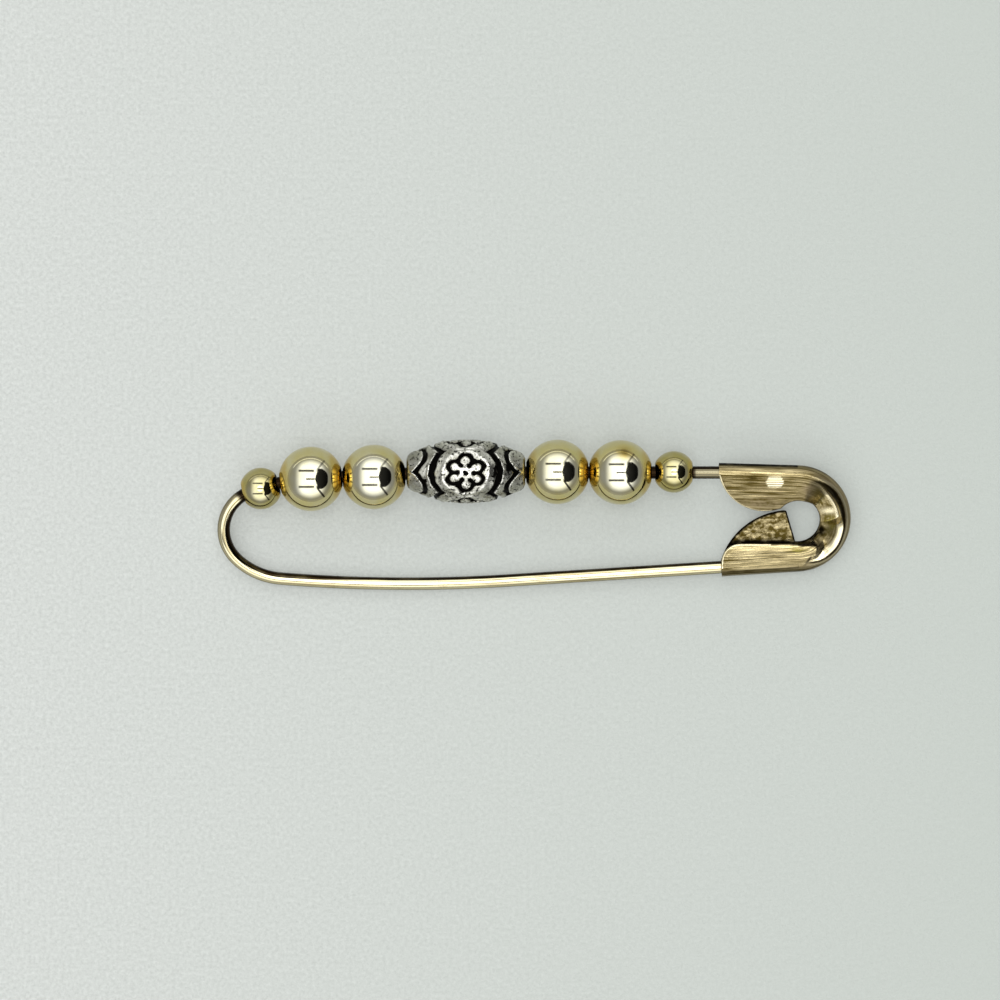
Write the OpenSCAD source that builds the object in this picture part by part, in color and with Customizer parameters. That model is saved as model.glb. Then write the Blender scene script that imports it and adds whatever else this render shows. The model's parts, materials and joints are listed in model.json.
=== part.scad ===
// Safety pin brooch: a bent wire pin with drilled metal beads on its upper arm and a folded sheet cap.
// It lies on a table on its large beads, the lower arm and the cap.
// X runs along the upper arm towards the cap, Y away from the lower arm, Z up. Millimetres.

/* [Wire] */
// Diameter of the wire
wire_d = 1.2; // [1.1:0.02:1.24]
// Length of the upper arm from the mouth of the cap to its first bend
upper_run = 22.16; // [22:0.02:22.4]
// Length of the tapered point of the lower arm, inside the cap
point_len = 7; // [5:0.5:7]

/* [Beads] */
// Diameter of the large round beads
large_d = 6.12; // [5.9:0.02:6.14]
// Diameter of the small round beads
small_d = 3.96; // [3.6:0.02:4.1]
// Diameter of the barrel bead at its middle
barrel_d = 6.18; // [6.1:0.02:6.3]
// Length of the barrel bead
barrel_len = 11.05; // [10.6:0.05:11.1]
// Diameter of the bore through every bead
bore_d = 2; // [1.96:0.02:2.1]
// Depth of the recesses round the ornament of the barrel bead
relief_depth = 0.25; // [0.15:0.05:0.3]

/* [Cap] */
// Thickness of the folded sheet
sheet = 0.28; // [0.24:0.02:0.3]
// Clearance between the wire and the sheet
grip_gap = 0.03; // [0.02:0.01:0.04]
// Distance from the middle of the pin to the right end of the cap
cap_end = 29.92; // [29.8:0.02:30]
// Diameter of the hole in the ring end
ring_hole_d = 4.5; // [4.2:0.1:4.6]

/* [Spring] */
// Gap in the wire at the left end of the bend, where the lower arm flexes
flex_gap = 0.06; // [0.05:0.01:0.1]

/* [Hidden] */
$fn = 96;

wire_r = wire_d / 2;
fold_in = wire_r + grip_gap;
fold_out = fold_in + sheet;
// Neighbouring stretches lap by a little, and every second one is a hair thinner, so that they join cleanly.
lap = 0.05;
hair = 0.002;

// The wire is a chain of round bends and straight runs, each a row of [turn radius, turn in degrees].
// Every bend turns left along the way from the cap, over the upper arm, round and back to the cap.
RADIUS = 0;
TURN = 1;
bead_bends = [[215, 4.5], [18.2, 16.7]];
end_bend_r = 3.96;
arm_bends = [[6.75, 38.9], [147, 4.7]];
rise_bend = [147, 3.7];
// The bend is split where the wire points straight down the page.
half_turn = 90 - bead_bends[0][TURN] - bead_bends[1][TURN];
arm_turn = 90 - arm_bends[0][TURN] - arm_bends[1][TURN];
flex_turn = flex_gap / 2 / end_bend_r * 180 / PI;

// Places in the plane of the pin, from the middle of the pin along the upper arm, and across it.
mouth_x = 17.42;
low_mouth_x = 17.75;
cap_slope = 1.7;

// The middle line after a bend of radius r and turn a, from point p with heading h
function after_bend(p, h, r, a) = p + r * [sin(h + a) - sin(h), cos(h) - cos(h + a)];
function after_bends(p, h, rows, i = 0) = i == len(rows) ? p
    : after_bends(after_bend(p, h, rows[i][RADIUS], rows[i][TURN]), h + rows[i][TURN], rows, i + 1);

first_bend = [mouth_x - upper_run, 0];
flex_point = after_bends(first_bend, 180, concat(bead_bends, [[end_bend_r, half_turn]]));
lowest = after_bends(flex_point, 270, concat([[end_bend_r, arm_turn]], arm_bends));
arm_rise = rise_bend[TURN];
arm_start = after_bend(lowest, 0, rise_bend[RADIUS], arm_rise);
arm_run = (low_mouth_x - 0.3 - arm_start[0]) / cos(arm_rise);

// The pin lies tilted about the beads: they and the lowest point of the lower arm rest on the table.
large_r = large_d / 2;
bore_play = bore_d / 2 - wire_r;
seat_gap = 0.05;
wire_height = 2.88;
tilt = asin((wire_height - wire_r) / -lowest[1]);
// Brings the middle of the whole brooch over the origin
shift_y = 3.93;

// The cap's middle line: two straight sides and one round end that touches both.
cap_reach = cap_end - fold_out;
top_offset = mouth_x * sin(cap_slope);
low_offset = arm_start[1] * cos(arm_rise) - arm_start[0] * sin(arm_rise);
top_rhs = top_offset - cap_reach * sin(cap_slope);
low_rhs = low_offset + cap_reach * sin(arm_rise);
cap_det = cos(cap_slope) * (sin(arm_rise) - 1) - cos(arm_rise) * (1 - sin(cap_slope));
cap_r = (cos(cap_slope) * low_rhs - cos(arm_rise) * top_rhs) / cap_det;
cap_y = (top_rhs - cap_r * (1 - sin(cap_slope))) / cos(cap_slope);
cap_centre = [cap_reach - cap_r, cap_y];
top_touch = cap_centre + cap_r * [sin(cap_slope), cos(cap_slope)];
low_touch = cap_centre + cap_r * [sin(arm_rise), -cos(arm_rise)];
top_mouth = [mouth_x, 0];
low_mouth = low_touch - (low_touch[0] - low_mouth_x) / cos(arm_rise) * [cos(arm_rise), sin(arm_rise)];

// The lobes of the cap are parts of discs.
lobe_centre = [21.76, 0.85];
lobe_r = 4.3;
back_centre = [24.22, -10.52];
back_r = 6.6;
hole_centre = [24.92, -4.7];
hole_r = ring_hole_d / 2;
back_edge_turn = 14.5;
back_edge_x = 24.02;
flap_top = -6.85;
flap_left = 18.18;
flap_round = 1.5;
dish_from = -70;
dish_to = 48;
dish_wall = 0.05;

// Round beads, each a row of [place along the arm, place across it, diameter, turn of the bore].
PLACE_X = 0;
PLACE_Y = 1;
SIZE = 2;
BORE_TURN = 3;
small_left = [-25.77, -1.51, small_d, 15];
large_1 = [-21, -0.6, large_d, 7];
large_2 = [-15.05, -0.42, large_d, 2];
large_3 = [2.2, 0.06, large_d, 0];
large_4 = [8.15, 0.01, large_d, 0];
small_right = [13.2, 0.06, small_d, 0];
barrel_x = -6.4;
barrel_y = 0.1;

// Height of the wire over the table at a place across the arm
function wire_z(y) = wire_height + y * tan(tilt);
function bead_z(bead) = bead[SIZE] == large_d ? large_r : wire_z(bead[PLACE_Y]) - bore_play + seat_gap;

module on_table() {
    translate([0, shift_y, wire_height])
        rotate([tilt, 0, 0])
            children();
}

// A left turn of the wire that starts along +X, with laps in millimetres before and after it
module wire_bend(r, turn, thinner = 0, before = 0, after = 0) {
    degrees = 180 / PI / r;
    translate([0, r, 0])
        rotate([0, 0, -90 - before * degrees])
            rotate_extrude(angle = turn + (before + after) * degrees)
                translate([r, 0])
                    circle(r = wire_r - thinner);
}

module wire_run(length, thinner = 0, before = 0) {
    translate([-before, 0, 0])
        rotate([0, 90, 0])
            cylinder(r = wire_r - thinner, h = length + before);
}

// Puts a stretch of wire at point p with heading h
module at_point(p, h) {
    translate([p[0], p[1], 0])
        rotate([0, 0, h])
            children();
}

module wire_frame() {
    second_bend = after_bends(first_bend, 180, [bead_bends[0]]);
    end_bend = after_bends(first_bend, 180, bead_bends);
    color("goldenrod")
    on_table() {
        // The gripped end follows the side of the cap.
        at_point(top_mouth, -cap_slope)
            wire_run(4, hair, lap);
        at_point(first_bend, 0)
            wire_run(upper_run);
        at_point(first_bend, 180)
            wire_bend(bead_bends[0][RADIUS], bead_bends[0][TURN], hair, lap, lap);
        at_point(second_bend, 180 + bead_bends[0][TURN])
            wire_bend(bead_bends[1][RADIUS], bead_bends[1][TURN]);
        at_point(end_bend, 270 - half_turn)
            wire_bend(end_bend_r, half_turn - flex_turn, hair, lap);
    }
}

module pin_arm() {
    knee = after_bend(flex_point, 270, end_bend_r, arm_turn);
    bottom = after_bend(knee, 270 + arm_turn, arm_bends[0][RADIUS], arm_bends[0][TURN]);
    flex_start = after_bend(flex_point, 270, end_bend_r, flex_turn);
    tip_r = 0.06;
    color("goldenrod")
    on_table() {
        at_point(flex_start, 270 + flex_turn)
            wire_bend(end_bend_r, arm_turn - flex_turn, hair, 0, lap);
        at_point(knee, 270 + arm_turn)
            wire_bend(arm_bends[0][RADIUS], arm_bends[0][TURN]);
        at_point(bottom, -arm_bends[1][TURN])
            wire_bend(arm_bends[1][RADIUS], arm_bends[1][TURN] + arm_rise, hair, lap, lap);
        at_point(arm_start, arm_rise) {
            wire_run(arm_run);
            translate([arm_run - lap, 0, 0])
                rotate([0, 90, 0])
                    cylinder(r1 = wire_r - hair, r2 = tip_r, h = point_len + lap);
        }
    }
}

// Everything inside the middle line of the cap, and a lap past it
module cap_area() {
    up = lap * [sin(cap_slope), cos(cap_slope)];
    down = lap * [sin(arm_rise), -cos(arm_rise)];
    translate(cap_centre)
        circle(r = cap_r + lap);
    polygon([top_mouth + up, top_touch + up, low_touch + down, low_mouth + down]);
}

// The half circle of sheet round the fold, on the side away from the cap's middle
module fold_section(thinner = 0) {
    intersection() {
        difference() {
            circle(r = fold_out - thinner);
            circle(r = fold_in + thinner);
        }
        translate([0, -fold_out])
            square(2 * fold_out);
    }
}

// The folded rim: two straight sides and the round end
module cap_rim() {
    top_len = norm(top_touch - top_mouth);
    low_len = norm(low_touch - low_mouth);
    lap_turn = lap / cap_r * 180 / PI;
    at_point(top_mouth, -cap_slope)
        rotate([90, 0, 90])
            linear_extrude(top_len)
                fold_section();
    at_point(low_mouth, arm_rise)
        rotate([90, 0, 90])
            linear_extrude(low_len)
                mirror([1, 0])
                    fold_section();
    at_point(cap_centre, arm_rise - 90 - lap_turn)
        rotate_extrude(angle = 180 - arm_rise - cap_slope + 2 * lap_turn)
            translate([cap_r, 0])
                fold_section(hair);
}

// The part of the round end that is pressed down, as a wedge from the cap's centre
module dish_wedge() {
    reach = 2 * cap_r;
    translate(cap_centre)
        polygon([[0, 0], reach * [cos(dish_from), sin(dish_from)], reach * [1, -0.6], reach * [1, 0.6],
                 reach * [cos(dish_to), sin(dish_to)]]);
}

module ring_hole() {
    translate(hole_centre)
        circle(r = hole_r);
}

// The wall sheet behind: both lobes and the ring end, with the hole cut up to the straight edge of the lobe
module back_outline() {
    difference() {
        intersection() {
            cap_area();
            union() {
                translate(lobe_centre)
                    circle(r = lobe_r);
                translate(back_centre)
                    circle(r = back_r);
                translate([hole_centre[0], -2 * back_r])
                    square([back_r, 2 * back_r]);
            }
        }
        intersection() {
            ring_hole();
            translate([back_edge_x, hole_centre[1]])
                rotate(back_edge_turn)
                    translate([0, -2 * hole_r])
                        square(4 * hole_r);
        }
    }
}

// The D-shaped upper lobe in front, down to the hole
module front_lobe_outline() {
    difference() {
        intersection() {
            cap_area();
            union() {
                translate(lobe_centre)
                    circle(r = lobe_r);
                translate([hole_centre[0], cap_centre[1]])
                    square([back_r, back_r]);
            }
        }
        ring_hole();
        dish_wedge();
    }
}

// The short lower flap in front, with its round corner at the mouth
module flap_outline() {
    difference() {
        intersection() {
            cap_area();
            union() {
                translate([flap_left + flap_round, -12])
                    square([8, flap_top + 12]);
                translate([flap_left, -12])
                    square([8, flap_top - flap_round + 12]);
                translate([flap_left + flap_round, flap_top - flap_round])
                    circle(r = flap_round);
            }
        }
        ring_hole();
        dish_wedge();
    }
}

// Strip of sheet along one edge of the pressed wedge, where the front drops to the floor
module step_strip(turn) {
    intersection() {
        cap_area();
        translate(cap_centre)
            rotate(turn)
                translate([0, -sheet / 2])
                    square([cap_r, sheet]);
    }
}

module cap() {
    color("darkkhaki")
    on_table() {
        cap_rim();
        translate([0, 0, -fold_out])
            linear_extrude(sheet)
                back_outline();
        translate([0, 0, fold_in])
            linear_extrude(sheet) {
                front_lobe_outline();
                flap_outline();
            }
        // Floor of the dished ring, pressed on to the back sheet
        translate([0, 0, -fold_in])
            linear_extrude(sheet)
                difference() {
                    intersection() {
                        cap_area();
                        dish_wedge();
                    }
                    ring_hole();
                }
        // Wall round the dish and its two end steps
        translate([0, 0, -fold_in])
            linear_extrude(fold_in + fold_out)
                difference() {
                    union() {
                        intersection() {
                            dish_wedge();
                            difference() {
                                translate(cap_centre)
                                    circle(r = cap_r + dish_wall);
                                translate(cap_centre)
                                    circle(r = cap_r - sheet + dish_wall);
                            }
                        }
                        step_strip(dish_from);
                        step_strip(dish_to);
                    }
                    ring_hole();
                }
    }
}

module round_bead(bead) {
    translate([bead[PLACE_X], shift_y + bead[PLACE_Y], bead_z(bead)])
        rotate([tilt, 0, 0])
            rotate([0, 90, bead[BORE_TURN]])
                difference() {
                    sphere(d = bead[SIZE]);
                    cylinder(d = bore_d, h = 2 * bead[SIZE], center = true);
                }
}

module bead_small_left() { color("khaki") round_bead(small_left); }
module bead_large_1() { color("khaki") round_bead(large_1); }
module bead_large_2() { color("khaki") round_bead(large_2); }
module bead_large_3() { color("khaki") round_bead(large_3); }
module bead_large_4() { color("khaki") round_bead(large_4); }
module bead_small_right() { color("khaki") round_bead(small_right); }

// Half outline of the barrel bead, as far in from its surface as inset: an arc, softened at the ends
module barrel_section(inset) {
    belly_r = 11;
    intersection() {
        translate([barrel_d / 2 - belly_r, 0])
            circle(r = belly_r - inset, $fn = 180);
        circle(r = norm([barrel_len / 2, 1.45]) - inset);
        translate([bore_d / 2, -barrel_len / 2 + inset])
            square([barrel_d, barrel_len - 2 * inset]);
    }
}

// Flower with six petals in a round recess
module flower_recess() {
    petals = 6;
    difference() {
        circle(r = 1.85);
        circle(r = 0.6);
        for (i = [0 : petals - 1])
            rotate(i * 360 / petals + 30) {
                translate([1.12, 0])
                    circle(r = 0.42);
                translate([0, -0.16])
                    square([1.1, 0.32]);
            }
    }
}

// Bent groove beside the flower, and the smaller one near the end of the bead
module side_grooves() {
    polygon([[2.85, 0], [2.4, 1.2], [1.8, 1.9], [2.2, 2.1], [2.95, 1.3], [3.3, 0],
             [2.95, -1.3], [2.2, -2.1], [1.8, -1.9], [2.4, -1.2]]);
    polygon([[4.75, 0], [3.95, 1.2], [4.35, 1.3], [5, 0], [4.35, -1.3], [3.95, -1.2]]);
}

module bead_barrel() {
    quarters = 4;
    color("silver")
    translate([barrel_x, shift_y + barrel_y, barrel_d / 2])
        rotate([tilt, 0, 0]) {
            rotate([0, 90, 0])
                rotate_extrude()
                    barrel_section(relief_depth);
            difference() {
                rotate([0, 90, 0])
                    rotate_extrude()
                        barrel_section(0);
                for (i = [0 : quarters - 1])
                    rotate([i * 360 / quarters - tilt, 0, 0])
                        translate([0, 0, bore_d / 2 + 0.1])
                            linear_extrude(barrel_d) {
                                flower_recess();
                                side_grooves();
                                mirror([1, 0])
                                    side_grooves();
                            }
            }
        }
}

wire_frame();
pin_arm();
cap();
bead_small_left();
bead_large_1();
bead_large_2();
bead_barrel();
bead_large_3();
bead_large_4();
bead_small_right();
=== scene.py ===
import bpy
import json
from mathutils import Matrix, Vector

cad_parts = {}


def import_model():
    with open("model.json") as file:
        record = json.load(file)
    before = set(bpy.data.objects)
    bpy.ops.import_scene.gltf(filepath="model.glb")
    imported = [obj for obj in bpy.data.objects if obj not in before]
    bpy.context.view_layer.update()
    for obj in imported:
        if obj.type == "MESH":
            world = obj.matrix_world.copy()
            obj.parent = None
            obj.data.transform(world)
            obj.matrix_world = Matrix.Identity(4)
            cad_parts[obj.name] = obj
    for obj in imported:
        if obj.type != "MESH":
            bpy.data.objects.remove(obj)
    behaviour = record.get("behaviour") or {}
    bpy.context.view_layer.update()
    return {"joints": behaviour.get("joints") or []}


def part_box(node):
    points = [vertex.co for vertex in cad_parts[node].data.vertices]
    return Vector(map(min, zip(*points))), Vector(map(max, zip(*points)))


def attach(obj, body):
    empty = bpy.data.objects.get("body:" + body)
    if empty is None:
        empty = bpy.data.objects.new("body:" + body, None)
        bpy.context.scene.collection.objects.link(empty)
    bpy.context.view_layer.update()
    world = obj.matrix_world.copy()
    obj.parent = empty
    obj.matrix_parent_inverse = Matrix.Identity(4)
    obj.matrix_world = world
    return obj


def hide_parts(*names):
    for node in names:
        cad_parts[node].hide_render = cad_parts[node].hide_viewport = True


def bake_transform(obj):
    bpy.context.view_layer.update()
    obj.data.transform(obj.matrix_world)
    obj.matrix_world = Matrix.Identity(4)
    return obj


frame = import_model()

import json
import math
from types import SimpleNamespace

import bpy
import numpy as np

# Lengths are in millimetres, angles in degrees, unless a name says otherwise.
MM = 0.001
FULL_TURN = 2 * math.pi

# The pin lies tilted about the beads. Its own plane has u along the upper arm, v across it and w out of it.
HINGE = frame["joints"][0]
TILT = math.atan2(-HINGE["axis"][1], HINGE["axis"][2])
MIDDLE_Y = 3.93
WIRE_HEIGHT = 2.88


def on_pin(u, v, w):
    """Points of the pin's plane in metres: turned by the tilt about the upper arm, lifted to its height."""
    u, v, w = np.broadcast_arrays(u, v, w)
    y = MIDDLE_Y + v * math.cos(TILT) - w * math.sin(TILT)
    z = WIRE_HEIGHT + v * math.sin(TILT) + w * math.cos(TILT)
    return np.stack([u, y, z], -1) * MM


def smooth(t):
    """Smooth step: 3 t squared minus 2 t cubed, with t held between 0 and 1."""
    t = np.clip(t, 0, 1)
    return t * t * (3 - 2 * t)


def after(value, start, over):
    """Smooth step up: 0 as far as the start, and 1 once the value is past it by what over says."""
    return smooth((value - start) / over)


def before(value, end, over):
    """Smooth step down: 0 from the end on, and 1 where the value is short of it by what over says."""
    return smooth((end - value) / over)


def bell(value, middle, width):
    """Bell curve: e to the power of minus the square of the distance from the middle over the width."""
    return np.exp(-((value - middle) / width) ** 2)


def spot(u, v, middle, size):
    """Soft round patch: e to the power of minus the squared distance from the middle over the size."""
    return np.exp(-((u - middle[0]) / size[0]) ** 2 - ((v - middle[1]) / size[1]) ** 2)


def spots(u, v, table):
    """Sum of soft round patches, each given by its strength, middle and size."""
    return sum(strength * spot(u, v, middle, size) for strength, middle, size in table)


def unit(vectors):
    """Each vector over its own length."""
    return vectors / np.maximum(np.linalg.norm(vectors, axis=-1, keepdims=True), 1e-12)


def running_sum(steps):
    """Sum of the steps up to each place, from 0 before the first one."""
    return np.concatenate([[0], np.cumsum(steps)])


def put_mesh(name, points, faces, attributes=None, sharp=60):
    """A mesh from points in metres and faces, turned inside out if its signed volume is below zero."""
    tri = np.concatenate([faces[:, [0, 1, 2]], faces[:, [0, 2, 3]]])
    a, b, c = points[tri[:, 0]], points[tri[:, 1]], points[tri[:, 2]]
    if np.einsum("ij,ij->", a, np.cross(b, c)) < 0:
        faces = faces[:, ::-1]
    same = faces[:, 2] == faces[:, 3]
    same |= faces[:, 0] == faces[:, 1]
    mesh = bpy.data.meshes.new(name)
    rows = [list(dict.fromkeys(f)) for f in faces[same].tolist()] + faces[~same].tolist()
    mesh.from_pydata(points, [], rows)
    mesh.polygons.foreach_set("use_smooth", np.ones(len(mesh.polygons), bool))
    mesh.set_sharp_from_angle(angle=math.radians(sharp))
    for key, values in (attributes or {}).items():
        field = mesh.attributes.new(key, "FLOAT_VECTOR", "POINT").data
        field.foreach_set("vector", values.astype(np.float32).ravel())
    mesh.update()
    piece = bpy.data.objects.new(name, mesh)
    bpy.context.scene.collection.objects.link(piece)
    return piece


def grid_piece(name, points, closed_rows=False, ends=None, attributes=None, sharp=60):
    """A piece whose points are a grid of rows, each row a closed loop.

    Four neighbours make a face. The rows close into a ring, or the two end rows are closed by
    a fan to their middle, or by a strip between the first and second half of the loop."""
    rows, cols = points.shape[:2]
    index = np.arange(rows * cols).reshape(rows, cols)
    here = np.concatenate([index, index[:1]]) if closed_rows else index
    here = np.concatenate([here, here[:, :1]], 1)
    faces = np.stack([here[:-1, :-1], here[1:, :-1], here[1:, 1:], here[:-1, 1:]], -1).reshape(-1, 4)
    flat = points.reshape(-1, 3)
    extra = {key: values.reshape(rows * cols, 3) for key, values in (attributes or {}).items()}
    if ends == "fan":
        for row, pole in ((0, rows * cols), (rows - 1, rows * cols + 1)):
            ring = here[row]
            fan = np.stack([ring[:-1], ring[1:], np.full(cols, pole), np.full(cols, pole)], -1)
            faces = np.concatenate([faces, fan if row == 0 else fan[:, [1, 0, 2, 3]]])
            flat = np.concatenate([flat, points[row].mean(0)[None]])
        extra = {key: np.concatenate([values, values[:1], values[-1:]]) for key, values in extra.items()}
    if ends == "strip":
        for row in (0, rows - 1):
            near, far = index[row, : cols // 2], index[row, ::-1][: cols // 2]
            strip = np.stack([near[:-1], near[1:], far[1:], far[:-1]], -1)
            faces = np.concatenate([faces, strip if row == 0 else strip[:, ::-1]])
    return put_mesh(name, flat, faces, extra, sharp)


# Wire

WIRE_R = 0.6
WIRE_SIDES = 56
WIRE_STEP = 0.16
# A real wire's bends run softly into each other, over this many steps.
SOFT_STEPS = 7
CUT_END_SHARE = 0.9
TIP_R = 0.06
TIP_ROUNDED = 0.03
TIP_END_SHARE = 0.4
POINT_LENGTH = 7.0
GRIPPED = 4.0
MOUTH_U = 17.42
CAP_SLOPE = 1.7
# Stretches of the one wire from its gripped end: length, and left turn in degrees.
STRETCHES = np.array([
    (GRIPPED - 0.1, 0), (0.2, CAP_SLOPE), (22.06, 0),
    (16.886, 4.5), (5.3048, 16.7), (4.7552, 68.8),
    (3.2069, 46.4), (4.5828, 38.9), (12.058, 4.7), (9.4928, 3.7),
    (19.92 + POINT_LENGTH, 0)])
# Where the left bend begins, where the upper arm ends, and where its last bead ends.
BEND_U = -14
UPPER_ARM_V = -2.6
LAST_BEAD_U = 15.3


def wire_line():
    """Middle line of the wire: its heading grows evenly with length inside each stretch.

    Every step is a chord: step length times sin(half turn)/half turn, along the middle heading."""
    slope = math.radians(CAP_SLOPE)
    ends = running_sum(STRETCHES[:, 0])
    headings = np.radians(180 - CAP_SLOPE + running_sum(STRETCHES[:, 1]))
    along = np.linspace(0, ends[-1], int(ends[-1] / WIRE_STEP))
    heading = np.interp(along, ends, headings)
    kept = SOFT_STEPS // 2
    softened = np.convolve(heading, np.ones(SOFT_STEPS) / SOFT_STEPS, "valid")
    heading = np.concatenate([heading[:kept], softened, heading[-kept:]])
    turn = np.diff(heading) / 2
    chord = np.diff(along) * np.sinc(turn / math.pi)
    middle = (heading[1:] + heading[:-1]) / 2
    u = MOUTH_U + GRIPPED * math.cos(slope) + running_sum(chord * np.cos(middle))
    v = -GRIPPED * math.sin(slope) + running_sum(chord * np.sin(middle))
    return along, heading, u, v


def wire_surface():
    """Circle of the wire's radius carried square to the middle line; the radius falls evenly over the point.

    The grain attribute is the place round and along the wire. The other attribute holds painted shade: on both
    sides of the wire, most on the inner side of the bend, and darker where the beads cover it."""
    along, heading, u, v = wire_line()
    point_at = along[-1] - np.array([POINT_LENGTH, TIP_ROUNDED, 0])
    radius = np.interp(along, point_at, [WIRE_R, TIP_R, TIP_R * TIP_END_SHARE])
    radius[0] = WIRE_R * CUT_END_SHARE
    turn = np.linspace(0, FULL_TURN, WIRE_SIDES, endpoint=False)
    left, out = np.cos(turn)[None], np.sin(turn)[None]
    r = radius[:, None]
    points = on_pin(u[:, None] - r * left * np.sin(heading)[:, None],
                    v[:, None] + r * left * np.cos(heading)[:, None], r * out)
    grain = np.stack(np.broadcast_arrays(WIRE_R * left, WIRE_R * out, along[:, None]), -1)
    # Painted shade: dark on both sides of the wire, most on the inner side of the bend, and darker on the
    # stretch that the beads cover.
    bend = before(u, BEND_U, 10)[:, None]
    upper = after(v, UPPER_ARM_V, 0.3)[:, None]
    inner = smooth((left - 0.62 + 0.34 * bend) / 0.16) + 0.7 * after(-left, 0.64, 0.22)
    inner = np.maximum(inner, upper * (1 - bend) * after(np.abs(left), 0.6, 0.12))
    painted_bead_shade = (0.7 + 0.3 * before(u, LAST_BEAD_U, 0.2))[:, None] * upper
    wear_and_painted_light = np.stack(np.broadcast_arrays(inner, painted_bead_shade, 0.0), -1)
    return points, {"grain": grain, "wear_and_painted_light": wear_and_painted_light}


points, extra = wire_surface()
wire = grid_piece("bent_wire", points, ends="fan", attributes=extra)

# Cap

SHEET = 0.28
HALF_SHEET = SHEET / 2
FOLD_IN = 0.63
FOLD_MID = FOLD_IN + HALF_SHEET
RING_CENTRE = np.array([24.7923, -4.43836])
RING_R = 4.2177
HOLE_CENTRE = np.array([24.92, -4.7])
HOLE_R = 2.25
LOBE_CENTRE = np.array([21.76, 0.85])
LOBE_R = 4.3
LOBE_MEETS_HOLE_U = 23.2
BACK_CENTRE = np.array([24.22, -10.52])
BACK_R = 6.6
BACK_CUT_LEAN = 9.5
TOP_MOUTH = np.array([17.42, 0.0])
LOW_MOUTH = np.array([17.75, -9.12028])
ARM_RISE = 3.7
FLAP_TOP_V = -6.87
FLAP_FROM_U = 17.85
FLAP_CORNER = 1.95
FLAP_ROUNDNESS = 2.3
NARROWEST = 0.03

# Stations along the rim. They crowd towards the mouths, and just below the ring, where the back is cut.
TOP_ROWS, RING_ROWS, CUT_ROWS, LOW_ROWS = 92, 130, 14, 100
TOP_CROWDING, LOW_CROWDING = 1.7, 1.35
CUT_SHARE = 0.02
CUT_OVER_ROWS = 12

# Columns of one station: in from the rim in front, round the fold, in from it behind, and round one edge.
FRONT_COLS, FOLD_COLS, BACK_COLS, EDGE_COLS = 64, 29, 35, 7
SKIN_COLS = FRONT_COLS + FOLD_COLS + BACK_COLS

# The dish, by angle round the ring: 90 at its top, 0 at its right, -90 at its bottom. The crest is where the
# fold turns into the dish's wall, and the foot is where the wall runs out to the floor.
DISH_FLOOR_W = -0.455
DISH_TOP_AT = 76
DISH_FULL_AT = -20
PLEAT_AT = -84
PLEAT_SLANT = 30
PLEAT_DEPTH = 2.1
CREST_IN = 0.32
CREST_IN_BELOW = 0.16
SHADOW_WIDTH = 0.42
STEEP_WALL = 0.14
FOOT_HEIGHT = 0.25
FOOT_REACH = 0.95

# Marks on the sheet: strength, middle and size of each soft patch, as u and v.
BROWN_SPOTS = [(0.2, (20.5, -0.5), (1.6, 0.9)), (0.3, (22.7, -7.93), (1.4, 0.13))]
# Painted shade: dark patches at the flap's right end and in the wedge of the dish.
CAP_SHADE_SPOTS = [(0.9, (26.7, -6.86), (0.5, 0.22)), (1.2, (27.15, -5.6), (0.42, 0.52))]
GREY_SPOTS = [(1.0, (26.0, -1.5), (0.75, 0.75)), (0.6, (21.6, -2.9), (2.6, 0.75))]
OLIVE_SPOTS = [
    (1.0, (26.9, -2.1), (0.6, 0.7)), (1.0, (28.2, -5.0), (0.6, 0.9)), (1.0, (24.9, -7.3), (0.8, 0.3))]
# Painted highlight: a bright spot on the floor of the dish.
HIGHLIGHT_SPOTS = [(0.6, (27.95, -3.75), (0.8, 0.26))]
# The pleat's notch, painted as a dark shadow: its middle and size.
NOTCH_MIDDLE = (25.95, -8.25)
NOTCH_SIZE = (0.55, 0.12)
# The glint, a painted highlight: its middle, half size, and the spacing of its fine lines.
GLINT_MIDDLE = (22.68, -0.74)
GLINT_HALF = (0.86, 0.56)
GLINT_LINE = 0.215


def enters(points, rays, centre, radius, far=False):
    """Distance along each ray to a circle: to the foot of its centre on the ray, less or plus half the chord."""
    to = centre - points
    foot = (to * rays).sum(-1)
    gap = radius ** 2 - ((to ** 2).sum(-1) - foot ** 2)
    half = np.sqrt(np.maximum(gap, 0))
    return np.where(gap > 0, foot + half if far else foot - half, 99.0 if not far else 0.0)


def cap_stations():
    """Stations along the rim: down the upper side, round the ring, back along the lower side to the mouth.

    Each has its place, the angle of its outward normal, and its part: 0 for the upper side, 1 for the ring,
    2 for the lower side."""
    angle_top, angle_low = math.radians(90 - CAP_SLOPE), math.radians(ARM_RISE - 90)
    top_touch = RING_CENTRE + RING_R * np.array([math.cos(angle_top), math.sin(angle_top)])
    low_touch = RING_CENTRE + RING_R * np.array([math.cos(angle_low), math.sin(angle_low)])
    t = np.linspace(0, 1, TOP_ROWS)[:-1, None] ** TOP_CROWDING
    top = TOP_MOUTH + t * (top_touch - TOP_MOUTH)
    angle = np.linspace(angle_top, angle_low, RING_ROWS)
    ring = RING_CENTRE + RING_R * np.stack([np.cos(angle), np.sin(angle)], -1)
    t = np.concatenate([np.linspace(0, CUT_SHARE, CUT_ROWS)[1:], np.linspace(CUT_SHARE, 1, LOW_ROWS)[1:]])
    low = LOW_MOUTH + (1 - t[:, None]) ** LOW_CROWDING * (low_touch - LOW_MOUTH)
    return SimpleNamespace(
        place=np.concatenate([top, ring, low]),
        out=np.concatenate([np.full(len(top), angle_top), angle, np.full(len(low), angle_low)]),
        part=np.concatenate([np.zeros(len(top)), np.ones(len(ring)), np.full(len(low), 2.0)]))


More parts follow.
